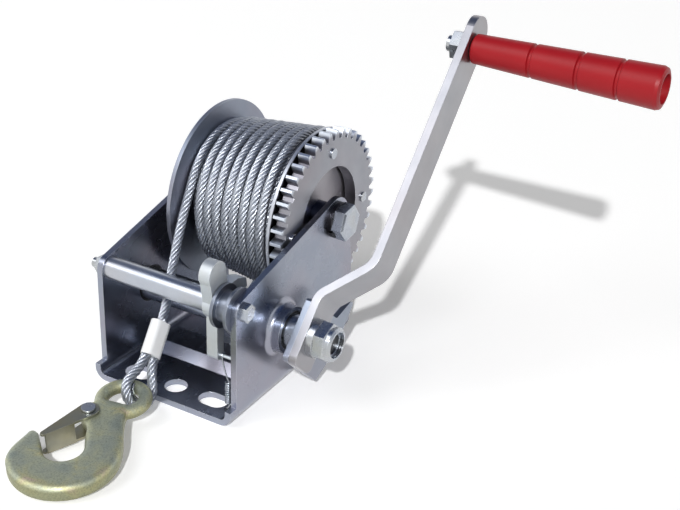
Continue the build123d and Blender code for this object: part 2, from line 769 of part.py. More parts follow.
with BuildPart() as rope_clamp:
    with BuildSketch(across(left_flange_face, *drum_axis, facing=-1)):
        with Locations(Location((clamp_circle, 0), 90)):
            SlotOverall(clamp_length, clamp_width)
    extrude(amount=clamp_sheet)
    with BuildSketch(across(left_flange_face - clamp_sheet, *drum_axis, facing=-1)):
        with Locations((clamp_circle, clamp_bolt_spacing / 2), (clamp_circle, -clamp_bolt_spacing / 2)):
            RegularPolygon(radius=clamp_bolt_radius, side_count=6)
    extrude(amount=clamp_bolt_height)
rope_clamp.part.label = "rope_clamp"
export_step(rope_clamp.part, "parts/rope_clamp.step")

# Pinion shaft with pinion, ratchet wheel and clip
clip_right = -collar_end - run_gap
clip_left = clip_right - clip_sheet

with BuildPart() as pinion_shaft:
    rod(clip_left - shaft_past_clip, plate_left, pinion_axis, shaft_radius)
    with BuildSketch(crank_plane(plate_left)):
        RectangleRounded(shaft_square, shaft_square, square_corner)
    extrude(amount=arm_right - plate_left)
    rod(arm_right, nut_end - shaft_end_recess, pinion_axis, shaft_thread)
pinion_shaft.part.label = "pinion_shaft"
export_step(pinion_shaft.part, "parts/pinion_shaft.step")

pinion_left = gear_left + run_gap
pinion_right = inner_face - run_gap

with BuildPart() as pinion_gear:
    with BuildSketch(across(pinion_left, *pinion_axis)):
        make_face(gear_outline(pinion_teeth, mesh_angle))
        Circle(shaft_radius + fit_gap, mode=Mode.SUBTRACT)
    extrude(amount=pinion_right - pinion_left)
pinion_gear.part.label = "pinion_gear"
export_step(pinion_gear.part, "parts/pinion_gear.step")

ratchet_left = pawl_left + seat_gap
ratchet_right = ratchet_left + ratchet_width

with BuildPart() as ratchet_wheel:
    with BuildSketch(across(ratchet_left, *pinion_axis)):
        make_face(ratchet_outline(ratchet_teeth, ratchet_radius, ratchet_depth))
    extrude(amount=ratchet_width)
    rod(ratchet_right, pinion_left, pinion_axis, ratchet_hub)
    rod(ratchet_left, pinion_left, pinion_axis, shaft_radius + fit_gap, mode=Mode.SUBTRACT)
ratchet_wheel.part.label = "ratchet_wheel"
export_step(ratchet_wheel.part, "parts/ratchet_wheel.step")

with BuildPart() as shaft_clip:
    rod(clip_left, clip_right, pinion_axis, clip_radius)
    rod(clip_left, clip_right, pinion_axis, shaft_radius + fit_gap, mode=Mode.SUBTRACT)
shaft_clip.part.label = "shaft_clip"
export_step(shaft_clip.part, "parts/shaft_clip.step")

# Crank: hub plate, cranked flat arm, lock washer and nut
square_hole = shaft_square + 2 * fit_gap

with BuildPart() as crank_hub_plate:
    with BuildSketch(crank_plane(plate_left)) as hub_face:
        with BuildLine():
            Polyline(*hub_outline, close=True)
        make_face()
        fillet(hub_face.vertices(), radius=hub_corner)
        RectangleRounded(square_hole, square_hole, square_corner, mode=Mode.SUBTRACT)
    extrude(amount=hub_plate)
crank_hub_plate.part.label = "crank_hub_plate"
export_step(crank_hub_plate.part, "parts/crank_hub_plate.step")

arm_end = crank_radius + arm_past_grip
half_arm = arm_width / 2
arm_side = Plane(
    origin=(arm_left, pinion_y, pinion_z),
    x_dir=(0, cos(radians(crank_angle)), sin(radians(crank_angle))),
    z_dir=(0, sin(radians(crank_angle)), -cos(radians(crank_angle))),
)

with BuildPart() as crank_arm:
    with BuildSketch(arm_side):
        with BuildLine():
            FilletPolyline(
                (-arm_foot - arm_width, 0),
                (arm_bend_start, 0),
                (arm_bend_start + arm_bend_run, arm_offset),
                (arm_end + arm_width, arm_offset),
                radius=arm_bend_radius,
            )
            offset(amount=arm_sheet, side=Side.LEFT)
        make_face()
    extrude(amount=arm_width, both=True)
    with BuildSketch(crank_plane(plate_left)) as arm_face:
        with BuildLine():
            Polyline(
                (arm_end - half_arm, half_arm),
                (-arm_foot, half_arm),
                (-arm_foot, -half_arm),
                (arm_end - half_arm, -half_arm),
            )
            ThreePointArc((arm_end - half_arm, -half_arm), (arm_end, 0), (arm_end - half_arm, half_arm))
        make_face()
        fillet(arm_face.vertices().group_by(Axis.X)[0], radius=arm_foot_corner)
        RectangleRounded(square_hole, square_hole, square_corner, mode=Mode.SUBTRACT)
        with Locations((crank_radius, 0)):
            Circle(grip_thread + fit_gap, mode=Mode.SUBTRACT)
    extrude(amount=grip_left - plate_left, mode=Mode.INTERSECT)
crank_arm.part.label = "crank_arm"
export_step(crank_arm.part, "parts/crank_arm.step")

with BuildPart() as crank_washer:
    split_washer(arm_right, nut_left, pinion_axis, crank_washer_radius, shaft_thread + fit_gap, 250)
crank_washer.part.label = "crank_washer"
export_step(crank_washer.part, "parts/crank_washer.step")

nut_collar_radius = crank_nut_flats / 2 - collar_shrink

with BuildPart() as crank_nut:
    hexagon(nut_left, nut_hex_end, pinion_axis, crank_nut_flats, turn=20)
    turned(
        0,
        pinion_axis,
        (
            (nut_left, 0),
            (nut_left, nut_collar_radius),
            (nut_end - collar_edge, nut_collar_radius),
            (nut_end, nut_collar_radius - collar_edge),
            (nut_end, 0),
        ),
    )
    rod(nut_left, nut_end, pinion_axis, shaft_thread + fit_gap, mode=Mode.SUBTRACT)
    rod(nut_hex_end, nut_end, pinion_axis, nut_pocket, mode=Mode.SUBTRACT)
crank_nut.part.label = "crank_nut"
export_step(crank_nut.part, "parts/crank_nut.step")

# Grip on its bolt
grip_right = grip_left + grip_length
bolt_head_left = grip_right - grip_recess + run_gap
grip_nut_end = grip_arm_left - nut_height * grip_thread

with BuildPart() as grip_bolt:
    rod(grip_nut_end - thread_past_nut, bolt_head_left, grip_axis, grip_thread)
    rod(bolt_head_left, bolt_head_left + grip_head, grip_axis, grip_head_radius)
    with BuildSketch(across(bolt_head_left + grip_head, *grip_axis)):
        RegularPolygon(radius=grip_socket / 2, side_count=6, major_radius=False)
    extrude(amount=-grip_socket_depth, mode=Mode.SUBTRACT)
grip_bolt.part.label = "grip_bolt"
export_step(grip_bolt.part, "parts/grip_bolt.step")

with BuildPart() as grip_nut:
    hexagon(grip_arm_left, grip_nut_end, grip_axis, grip_flats, turn=16)
    rod(grip_nut_end, grip_arm_left, grip_axis, grip_thread + fit_gap, mode=Mode.SUBTRACT)
grip_nut.part.label = "grip_nut"
export_step(grip_nut.part, "parts/grip_nut.step")


def grip_radius(along):
    """Radius of the tapered grip a distance from its small end."""
    return grip_small + (grip_large - grip_small) * along / grip_length


grip_bore = grip_thread + fit_gap
recess_radius = grip_head_radius + grip_recess_play
grip_corners = [(0, grip_bore), (0, grip_small - grip_edge), (grip_edge, grip_radius(grip_edge))]
for place in groove_places:
    middle = place * grip_length
    near = middle - groove_width / 2
    far = middle + groove_width / 2
    floor = grip_radius(middle) - groove_depth
    grip_corners.append((near, grip_radius(near)))
    grip_corners.append((near + groove_slope, floor))
    grip_corners.append((far - groove_slope, floor))
    grip_corners.append((far, grip_radius(far)))
for back, drop in grip_nose:
    grip_corners.append((grip_length - back, grip_radius(grip_length - back) - drop))
grip_corners += [
    (grip_length, recess_radius),
    (grip_length - grip_recess, recess_radius),
    (grip_length - grip_recess, grip_bore),
]

with BuildPart() as grip:
    turned(grip_left, grip_axis, grip_corners)
grip.part.label = "grip"
export_step(grip.part, "parts/grip.step")

# Rope from the drum to the hook: the last turn lies in its own lane beside the left flange
leave = radians(leave_angle)
radial = Vector(0, cos(leave), sin(leave))
leave_way = Vector(0, -sin(leave), cos(leave))
leave_point = Vector(lane_x, drum_y, drum_z) + radial * last_turn_radius

with BuildPart() as rope_last_turn:
    with BuildSketch(Plane(origin=leave_point, x_dir=radial, z_dir=leave_way)):
        Circle(rope_radius)
    revolve(axis=Axis((lane_x, drum_y, drum_z), (-1, 0, 0)), revolution_arc=last_turn_wrap)
rope_last_turn.part.label = "rope_last_turn"
export_step(rope_last_turn.part, "parts/rope_last_turn.step")

eye_way = (ferrule_bottom - eye_centre).normalized()
ferrule_top = ferrule_bottom + eye_way * ferrule_length
lead = (
    leave_point,
    leave_point + leave_way * lead_start,
    *[Vector(*point) for point in lead_points],
    ferrule_top + eye_way * lead_end,
    ferrule_top,
)
lead_radii = sag_radii(lead)
print("rope lead radii", [round(radius, 1) for radius in lead_radii])

with BuildPart() as rope_lead:
    with BuildLine() as wire:
        FilletPolyline(*lead, radius=lead_radii)
    with BuildSketch(Plane(origin=wire.line @ 0, z_dir=wire.line % 0)):
        Circle(rope_radius)
    sweep()
rope_lead.part.label = "rope_lead"
export_step(rope_lead.part, "parts/rope_lead.step")

# Eye: a tear-shaped loop through the ring of the hook, held by the ferrule
eye_normal = eye_way.cross(eye_side).normalized()
eye_plane = Plane(origin=eye_centre, x_dir=eye_way, z_dir=eye_normal)
eye_reach = (ferrule_bottom - eye_centre).length
leg_gap = rope_radius + eye_leg_gap
leg_bend = eye_reach - rope
leg_angle = atan2(leg_gap, leg_bend) + acos(eye_radius / hypot(leg_bend, leg_gap))
leg_x = eye_radius * cos(leg_angle)
leg_y = eye_radius * sin(leg_angle)

with BuildPart() as rope_eye:
    with BuildLine(eye_plane) as wire:
        FilletPolyline((eye_reach, leg_gap), (leg_bend, leg_gap), (leg_x, leg_y), radius=rope)
        ThreePointArc((leg_x, leg_y), (-eye_radius, 0), (leg_x, -leg_y))
        FilletPolyline((leg_x, -leg_y), (leg_bend, -leg_gap), (eye_reach, -leg_gap), radius=rope)
    with BuildSketch(Plane(origin=wire.line @ 0, z_dir=wire.line % 0)):
        Circle(rope_radius)
    sweep()
rope_eye.part.label = "rope_eye"
export_step(rope_eye.part, "parts/rope_eye.step")

with BuildPart() as ferrule:
    with BuildSketch(Plane(origin=ferrule_bottom, x_dir=eye_plane.y_dir, z_dir=eye_way)):
        SlotOverall(ferrule_width, ferrule_thickness)
    extrude(amount=ferrule_length)
ferrule.part.label = "ferrule"
export_step(ferrule.part, "parts/ferrule.step")

thimble_outer = eye_radius - rope_radius - rest_gap

with BuildPart() as thimble:
    with BuildSketch(eye_plane):
        Circle(thimble_outer)
        Circle(thimble_outer - thimble_sheet, mode=Mode.SUBTRACT)
        with Locations((eye_radius + thimble_cut, 0)):
            Rectangle(2 * eye_radius, 3 * eye_radius, mode=Mode.SUBTRACT)
    extrude(amount=thimble_width / 2, both=True)
thimble.part.label = "thimble"
export_step(thimble.part, "parts/thimble.step")

# Hook: forged body with ring eye, lying flat; local x runs from the ring to the bowl
tilt = tan(radians(hook_tilt))
hook_plane = Plane(origin=hook_centre, x_dir=hook_way - up * tilt, z_dir=hook_way * tilt + up)
bowl_first = polar(bowl_centre, bowl_radius, bowl_start)
bowl_last = polar(bowl_centre, bowl_radius, bowl_end)
to_tip = tip_inner - throat_centre
throat_start = atan2(to_tip.Y, to_tip.X) + acos(throat_radius / to_tip.length)
throat_first = throat_centre + Vector(cos(throat_start), sin(throat_start)) * throat_radius
throat_last = polar(throat_centre, throat_radius, throat_end)


def heading(angle, sense):
    """Direction of travel round a circle at an angle in degrees, +1 for counter-clockwise."""
    return (-sense * sin(radians(angle)), sense * cos(radians(angle)))


with BuildPart() as hook_body:
    with BuildSketch(hook_plane) as hook_face:
        with BuildLine():
            Spline(
                *[flat(point) for point in shank_right],
                flat(bowl_first),
                tangents=((1, 0), heading(bowl_start, -1)),
            )
            ThreePointArc(flat(bowl_first), (bowl_centre.X + bowl_radius, bowl_centre.Y), flat(bowl_last))
            Spline(
                flat(bowl_last),
                flat(tip_back),
                flat(tip_outer),
                tangents=(heading(bowl_end, -1), (-1, 0)),
            )
            Polyline(flat(tip_outer), flat(tip_inner), flat(throat_first))
            ThreePointArc(
                flat(throat_first),
                (throat_centre.X + throat_radius, throat_centre.Y),
                flat(throat_last),
            )
            Spline(
                flat(throat_last),
                *[flat(point) for point in shank_left],
                tangents=(heading(throat_end, 1), (-1, 0)),
            )
            Line(flat(shank_left[-1]), flat(shank_right[0]))
        make_face()
        tip_corners = [
            corner
            for corner in hook_face.vertices()
            if (Vector(corner) - tip_outer).length < 0.1 or (Vector(corner) - tip_inner).length < 0.1
        ]
        fillet(tip_corners, radius=tip_round)
    extrude(amount=hook_thickness / 2, both=True)
    rim_faces = hook_body.faces().filter_by(hook_plane)
    fillet(rim_faces.edges(), radius=hook_edge)
    with Locations(hook_plane):
        Torus(hook_ring, hook_ring_section)
    with BuildSketch(hook_plane):
        with Locations(flat(latch_pivot)):
            Circle(latch_pin_radius + fit_gap)
    extrude(amount=hook_thickness, both=True, mode=Mode.SUBTRACT)
hook_body.part.label = "hook_body"
export_step(hook_body.part, "parts/hook_body.step")

# Latch: two tapered ears on a web, on a rivet through the shank
ear_inside = hook_thickness / 2 + seat_gap
ear_outside = ear_inside + latch_sheet

with BuildPart() as hook_latch:
    for side in (1, -1):
        with BuildSketch(hook_plane.offset(side * ear_inside)):
            with Locations(flat(latch_pivot)):
                Circle(latch_root_radius)
            with Locations(flat(latch_tip)):
                Circle(latch_tip_radius)
            make_hull()
            with Locations(flat(latch_pivot)):
                Circle(latch_pin_radius + fit_gap, mode=Mode.SUBTRACT)
        extrude(amount=side * latch_sheet)
    with BuildSketch(hook_plane):
        with BuildLine():
            Line(*[flat(point) for point in latch_web])
        trace(line_width=latch_sheet)
    extrude(amount=ear_outside, both=True)
hook_latch.part.label = "hook_latch"
export_step(hook_latch.part, "parts/hook_latch.step")

rivet_reach = ear_outside + seat_gap

with BuildPart() as latch_rivet:
    with BuildSketch(hook_plane):
        with Locations(flat(latch_pivot)):
            Circle(latch_pin_radius)
    extrude(amount=rivet_reach, both=True)
    for side in (1, -1):
        with BuildSketch(hook_plane.offset(side * rivet_reach)):
            with Locations(flat(latch_pivot)):
                Circle(latch_rivet_radius)
        extrude(amount=side * latch_rivet_head)
latch_rivet.part.label = "latch_rivet"
export_step(latch_rivet.part, "parts/latch_rivet.step")
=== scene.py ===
"""Looks of the hand winch: plated steel frame, wire rope, forged hook and red grip on a pale studio floor."""
import math

import bmesh
import bpy
from mathutils import Euler, Matrix, Vector


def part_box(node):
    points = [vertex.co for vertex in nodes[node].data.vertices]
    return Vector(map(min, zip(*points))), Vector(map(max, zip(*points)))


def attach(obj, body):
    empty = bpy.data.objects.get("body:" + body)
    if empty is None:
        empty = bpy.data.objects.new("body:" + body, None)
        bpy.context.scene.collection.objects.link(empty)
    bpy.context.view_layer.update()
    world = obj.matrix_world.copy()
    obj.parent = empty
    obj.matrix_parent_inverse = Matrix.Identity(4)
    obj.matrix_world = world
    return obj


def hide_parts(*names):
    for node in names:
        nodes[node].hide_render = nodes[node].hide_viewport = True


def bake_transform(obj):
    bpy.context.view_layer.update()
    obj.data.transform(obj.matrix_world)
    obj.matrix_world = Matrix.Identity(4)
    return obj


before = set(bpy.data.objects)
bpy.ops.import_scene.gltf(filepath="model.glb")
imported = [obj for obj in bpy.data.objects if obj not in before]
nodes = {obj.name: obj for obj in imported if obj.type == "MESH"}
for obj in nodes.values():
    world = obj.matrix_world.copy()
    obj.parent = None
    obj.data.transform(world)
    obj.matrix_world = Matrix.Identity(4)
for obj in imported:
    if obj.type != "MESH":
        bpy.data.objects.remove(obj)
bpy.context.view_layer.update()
scene = bpy.context.scene
scene.view_settings.view_transform = "Standard"

# Lengths are in millimetres and become metres by this
MM = 0.001
# The drum's axis
DRUM_Y, DRUM_Z = 34.7228, 69.3362

# Camera, as the photograph was taken
CAMERA_PLACE = Vector((320.475, -459.719, 348.765)) * MM
CAMERA_AZIMUTH, CAMERA_TILT, CAMERA_ROLL = 29.4245, 27.7090, 2.2028
SENSOR_WIDTH, FOCAL_LENGTH = 36.0, 69.371
camera_data = bpy.data.cameras.new("camera")
camera_data.sensor_width = SENSOR_WIDTH
camera_data.lens = FOCAL_LENGTH
camera = bpy.data.objects.new("camera", camera_data)
look = Euler((math.radians(90 - CAMERA_TILT), 0, math.radians(CAMERA_AZIMUTH))).to_matrix()
look = look @ Matrix.Rotation(math.radians(CAMERA_ROLL), 3, "Z")
camera.matrix_world = Matrix.Translation(CAMERA_PLACE) @ look.to_4x4()
scene.collection.objects.link(camera)
scene.camera = camera


# Small helpers
def colour(code):
    """Linear colour of an sRGB hex value."""
    parts = [int(code[i:i + 2], 16) / 255 for i in (1, 3, 5)]
    return [c / 12.92 if c <= 0.04045 else ((c + 0.055) / 1.055) ** 2.4 for c in parts] + [1.0]


def add(tree, kind, inputs=None, **settings):
    """Add a node with its settings; an input is a value or the output that feeds it."""
    node = tree.nodes.new(kind)
    for name, value in settings.items():
        setattr(node, name, value)
    for socket, value in (inputs or {}).items():
        if isinstance(value, bpy.types.NodeSocket):
            tree.links.new(value, node.inputs[socket])
        else:
            node.inputs[socket].default_value = value
    return node


def new_material(name):
    """Empty material with its tree, shader and object coordinates."""
    material = bpy.data.materials.new(name)
    material.use_nodes = True
    tree = material.node_tree
    tree.nodes.clear()
    shader = add(tree, "ShaderNodeBsdfPrincipled")
    add(tree, "ShaderNodeOutputMaterial", {"Surface": shader.outputs["BSDF"]})
    place = add(tree, "ShaderNodeTexCoord").outputs["Object"]
    return material, tree, shader, place


# What all the plating shares
EDGE_RADIUS, EDGE_RUB = 0.3, 0.8            # how round an edge is, and how bare it is rubbed
EDGE_FULL, EDGE_NONE = 0.75, 0.97           # likeness of rounded and flat normal, on an edge and off it
STAIN_SCALE, STAIN_SHARE = 0.35, 0.6        # stains are some three times as wide as clouds
STAIN_FROM, STAIN_TO = 0.42, 0.7
NOISE_LOW, NOISE_HIGH = 0.3, 0.7            # where most of a noise lies
GRAIN_DEPTH = 0.1
COVER = 0.95                                # how much of the plating the painted shade or a ring hides
# Near-black colour of the painted shade
SHADE_BLACK = "#121318"


def plated(
    name, bright, dull, tint, edge, roughness,
    grain_way=(1, 1, 1), grain_mm=0.9, bump=0.006, gloss_spread=0.03, cloud_mm=14.0,
    painted_shade=None, rings=(), metallic=1.0,
):
    """Plated steel: a metal with clouded passivation, a fine grain along its working and edges rubbed bright.

    The real grain is a few hundredths of a millimetre wide, so it is drawn coarser to show at all.
    Painted shade is a stretch of X and a stretch of radius about the drum's axis over which near-black shade
    is painted on the piece. Each ring is such a stretch of radius and the colour that comes up over it.
    """
    material, tree, shader, place = new_material(name)
    grain_scale = [way / (grain_mm * MM) for way in grain_way]
    along = add(tree, "ShaderNodeMapping", {"Vector": place, "Scale": grain_scale})
    grain = add(tree, "ShaderNodeTexNoise", {"Vector": along.outputs["Vector"], "Scale": 1.0, "Detail": 4.0})
    cloud = add(tree, "ShaderNodeTexNoise", {"Vector": place, "Scale": 1 / (cloud_mm * MM), "Detail": 3.0})
    stain = add(
        tree, "ShaderNodeTexNoise",
        {"Vector": place, "Scale": STAIN_SCALE / (cloud_mm * MM), "Detail": 2.0},
    )
    body = add(
        tree, "ShaderNodeMix",
        {0: cloud.outputs["Fac"], 6: colour(dull), 7: colour(bright)}, data_type="RGBA",
    )
    stained = add(
        tree, "ShaderNodeMapRange",
        {"Value": stain.outputs["Fac"], "From Min": STAIN_FROM, "From Max": STAIN_TO,
         "To Min": 0.0, "To Max": STAIN_SHARE},
    )
    film = add(
        tree, "ShaderNodeMix",
        {0: stained.outputs["Result"], 6: body.outputs[2], 7: colour(tint)}, data_type="RGBA",
    )
    # An edge is where the rounded normal leaves the face's own
    rounded = add(tree, "ShaderNodeBevel", {"Radius": EDGE_RADIUS * MM}, samples=4).outputs["Normal"]
    face = add(tree, "ShaderNodeNewGeometry").outputs["True Normal"]
    likeness = add(tree, "ShaderNodeVectorMath", {0: rounded, 1: face}, operation="DOT_PRODUCT")
    rubbed = add(
        tree, "ShaderNodeMapRange",
        {"Value": likeness.outputs["Value"], "From Min": EDGE_FULL, "From Max": EDGE_NONE,
         "To Min": EDGE_RUB, "To Max": 0.0},
    )
    worn = add(
        tree, "ShaderNodeMix",
        {0: rubbed.outputs["Result"], 6: film.outputs[2], 7: colour(edge)}, data_type="RGBA",
    )
    gloss = add(
        tree, "ShaderNodeMapRange",
        {"Value": cloud.outputs["Fac"], "From Min": NOISE_LOW, "From Max": NOISE_HIGH,
         "To Min": roughness + gloss_spread, "To Max": roughness - gloss_spread},
    )
    relief = add(
        tree, "ShaderNodeBump",
        {"Height": grain.outputs["Fac"], "Strength": bump, "Distance": GRAIN_DEPTH * MM, "Normal": rounded},
    )
    skin = worn.outputs[2]
    if painted_shade or rings:
        axis = (0, DRUM_Y * MM, DRUM_Z * MM)
        offset = add(tree, "ShaderNodeVectorMath", {0: place, 1: axis}, operation="SUBTRACT")
        flat = add(
            tree, "ShaderNodeVectorMath", {0: offset.outputs["Vector"], 1: (0, 1, 1)}, operation="MULTIPLY",
        )
        radius = add(
            tree, "ShaderNodeVectorMath", {0: flat.outputs["Vector"]}, operation="LENGTH",
        ).outputs["Value"]
    if painted_shade:
        # Painted shade: near black over the given stretch of X and radius, where the piece lies in shadow
        left, right, inner, outer = (value * MM for value in painted_shade)
        across = add(tree, "ShaderNodeSeparateXYZ", {"Vector": place}).outputs["X"]
        along_x = add(tree, "ShaderNodeMapRange", {"Value": across, "From Min": left, "From Max": right})
        out_r = add(
            tree, "ShaderNodeMapRange",
            {"Value": radius, "From Min": inner, "From Max": outer, "To Max": COVER},
        )
        black = add(
            tree, "ShaderNodeMath",
            {0: along_x.outputs["Result"], 1: out_r.outputs["Result"]}, operation="MULTIPLY",
        )
        skin = add(
            tree, "ShaderNodeMix",
            {0: black.outputs[0], 6: skin, 7: colour(SHADE_BLACK)}, data_type="RGBA",
        ).outputs[2]
    for start, end, code in rings:
        ring = add(
            tree, "ShaderNodeMapRange",
            {"Value": radius, "From Min": start * MM, "From Max": end * MM, "To Min": 0.0, "To Max": COVER},
        )
        skin = add(
            tree, "ShaderNodeMix", {0: ring.outputs["Result"], 6: skin, 7: colour(code)}, data_type="RGBA",
        ).outputs[2]
    tree.links.new(skin, shader.inputs["Base Color"])
    tree.links.new(gloss.outputs["Result"], shader.inputs["Roughness"])
    tree.links.new(relief.outputs["Normal"], shader.inputs["Normal"])
    shader.inputs["Metallic"].default_value = metallic
    return material


# Cold-rolled sheet, bright zinc with a blue passivation: cool grey, faint rolling marks front to back,
# bright cut edges
sheet_zinc = plated(
    "blue_zinc_plated_sheet", "#a2a6b1", "#8c94a4", "#a199a2", "#d5d9e2", 0.27,
    grain_way=(1, 0.1, 1), bump=0.002, gloss_spread=0.015,
)
# Flat bar with the same zinc: a little softer, with the drawing marks across its thickness
crank_zinc = plated(
    "zinc_plated_flat_bar", "#aaaaae", "#98999e", "#a29d9f", "#e4e5e7", 0.32,
    grain_way=(1, 0.3, 0.3), bump=0.0015,
)
# Punched hub plate: the same zinc, bluer and thinner
hub_zinc = plated("zinc_plated_punched_plate", "#9fa7b4", "#8d95a2", "#9c9aa4", "#dde3ea", 0.34)
# Pressed washers and small gears with a grey passivation
washer_zinc = plated(
    "grey_zinc_plated_washers", "#8d939e", "#787e8a", "#86858c", "#c6ccd4", 0.38, cloud_mm=5,
)
# Turned and headed fasteners: brighter zinc, small clouds, fine marks round the axis that all of them share
hardware_zinc = plated(
    "zinc_plated_fasteners", "#c2c7ce", "#a4abb6", "#b9b7ae", "#e6e9ec", 0.27,
    grain_way=(1, 0.15, 0.15), cloud_mm=6,
)
# Drawn tube: long faint marks along the tube and a clean stripe of light
tube_zinc = plated(
    "zinc_plated_tube", "#c4c9d1", "#b0b6c0", "#bcbabb", "#e6e9ee", 0.30,
    grain_way=(0.08, 1, 1), cloud_mm=9,
)
# Stamped gear blank with darker, slightly oily zinc and teeth rubbed bright towards their tips
TOOTH_BRIGHT_FROM, TOOTH_BRIGHT_TO = 2.6, 0.6
tip_radius = (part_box("drum_gear")[1][2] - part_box("drum_gear")[0][2]) / 2 / MM
gear_zinc = plated(
    "zinc_plated_gear_blank", "#a3a4ab", "#8c8f97", "#9d969b", "#eef2f7", 0.34,
    rings=((tip_radius - TOOTH_BRIGHT_FROM, tip_radius - TOOTH_BRIGHT_TO, "#dde4ee"),),
)
# Turned shaft: bright, with painted shade, nearly black, on its outer end inside the nut
shaft_zinc = plated(
    "zinc_plated_turned_shaft", "#bcc1c9", "#a1a8b3", "#b1afaa", "#e2e6ea", 0.28,
    grain_way=(1, 0.15, 0.15), painted_shade=(64, 66, -1, 0),
)
# Spun drum flanges: duller grey zinc
drum_zinc = plated("dull_zinc_plated_flange", "#9ca3b1", "#878f9d", "#98949f", "#c9cdd4", 0.44)
# The flange beside the gear: the same, with painted shade, nearly black, on its face behind the teeth, and a
# painted highlight, lighter, on its rim
shaded_flange_zinc = plated(
    "zinc_plated_flange_painted_shade", "#aaa8ac", "#94939a", "#a29a9f", "#d6dae0", 0.40,
    painted_shade=(27.3, 27.6, 34.0, 35.0), rings=((42.3, 42.6, "#c6cad2"),),
)
# Blued tube: glossy blue-black
blued_steel = plated(
    "blued_steel_tube", "#4a5168", "#343a4c", "#3b3f52", "#8a90a4", 0.22, grain_way=(0.08, 1, 1),
)
# Phosphated spring steel: nearly black, soft
dark_steel = plated("phosphated_spring_steel", "#3d3d42", "#2b2b30", "#38332f", "#77777c", 0.40)
# Tumbled zinc-plated casting: pale and matt with a fine pebbled skin
pawl_zinc = plated(
    "tumbled_zinc_plated_casting", "#d3d8dc", "#bfc6cd", "#cccdca", "#e6eaec", 0.54,
    grain_mm=0.6, bump=0.02, cloud_mm=7,
)
# Pressed aluminium sleeve: its dull oxide scatters light, so it looks nearly white, with the die's soft marks
ferrule_metal = plated(
    "pressed_aluminium", "#f8f9fa", "#eceef0", "#f0efec", "#fbfcfc", 0.46,
    grain_way=(0.5, 1, 1), cloud_mm=5, bump=0.01, metallic=0.1,
)
# Stamped latch in a thin olive chromate
latch_chromate = plated(
    "olive_chromate_latch", "#a5a59a", "#8c8c81", "#a69c74", "#d9d6c4", 0.40, cloud_mm=6,
)


def forged_chromate():
    """Drop-forged hook in yellow chromate.

    Grey-green skin with yellow, pink and blue patches, painted shade in darker olive on its sides and underside,
    and dark in its pits.
    """
    patch_mm, pit_mm, pit_depth, crown_mm = 13, 0.7, 0.15, 4.5
    material, tree, shader, place = new_material("yellow_chromate_forging")
    patch = add(
        tree, "ShaderNodeTexNoise",
        {"Vector": place, "Scale": 1 / (patch_mm * MM), "Detail": 3.0, "Distortion": 0.6},
    )
    film = add(tree, "ShaderNodeValToRGB", {"Fac": patch.outputs["Fac"]})
    stops = film.color_ramp.elements
    stops[0].position, stops[0].color = 0.28, colour("#a3aca0")
    stops[1].position, stops[1].color = 0.72, colour("#d6c4ae")
    for position, code in ((0.42, "#b2b8a6"), (0.52, "#bdc1a6"), (0.62, "#cbc89c")):
        stop = stops.new(position)
        stop.color = colour(code)
    # Painted shade: faces turned away from straight up, its sides and underside, are painted a darker olive
    face = add(tree, "ShaderNodeNewGeometry").outputs["Normal"]
    height = add(tree, "ShaderNodeSeparateXYZ", {"Vector": face}).outputs["Z"]
    side = add(
        tree, "ShaderNodeMapRange",
        {"Value": height, "From Min": -0.1, "From Max": 0.6, "To Min": 0.8, "To Max": 0.0},
    )
    body = add(
        tree, "ShaderNodeMix",
        {0: side.outputs["Result"], 6: film.outputs["Color"], 7: colour("#8b8b68")}, data_type="RGBA",
    )
    pits = add(tree, "ShaderNodeTexNoise", {"Vector": place, "Scale": 1 / (pit_mm * MM), "Detail": 4.0})
    dirt = add(
        tree, "ShaderNodeMapRange",
        {"Value": pits.outputs["Fac"], "From Min": 0.3, "From Max": 0.55, "To Min": 0.36, "To Max": 0.0},
    )
    skin = add(
        tree, "ShaderNodeMix",
        {0: dirt.outputs["Result"], 6: body.outputs[2], 7: colour("#474a43")}, data_type="RGBA",
    )
    gloss = add(
        tree, "ShaderNodeMapRange",
        {"Value": pits.outputs["Fac"], "From Min": NOISE_LOW, "From Max": NOISE_HIGH,
         "To Min": 0.52, "To Max": 0.38},
    )
    # The dies leave the section crowned, so light rolls over its edges
    crowned = add(tree, "ShaderNodeBevel", {"Radius": crown_mm * MM}, samples=12).outputs["Normal"]
    relief = add(
        tree, "ShaderNodeBump",
        {"Height": pits.outputs["Fac"], "Strength": 0.12, "Distance": pit_depth * MM, "Normal": crowned},
    )
    tree.links.new(skin.outputs[2], shader.inputs["Base Color"])
    tree.links.new(gloss.outputs["Result"], shader.inputs["Roughness"])
    tree.links.new(relief.outputs["Normal"], shader.inputs["Normal"])
    shader.inputs["Metallic"].default_value = 0.72
    return material


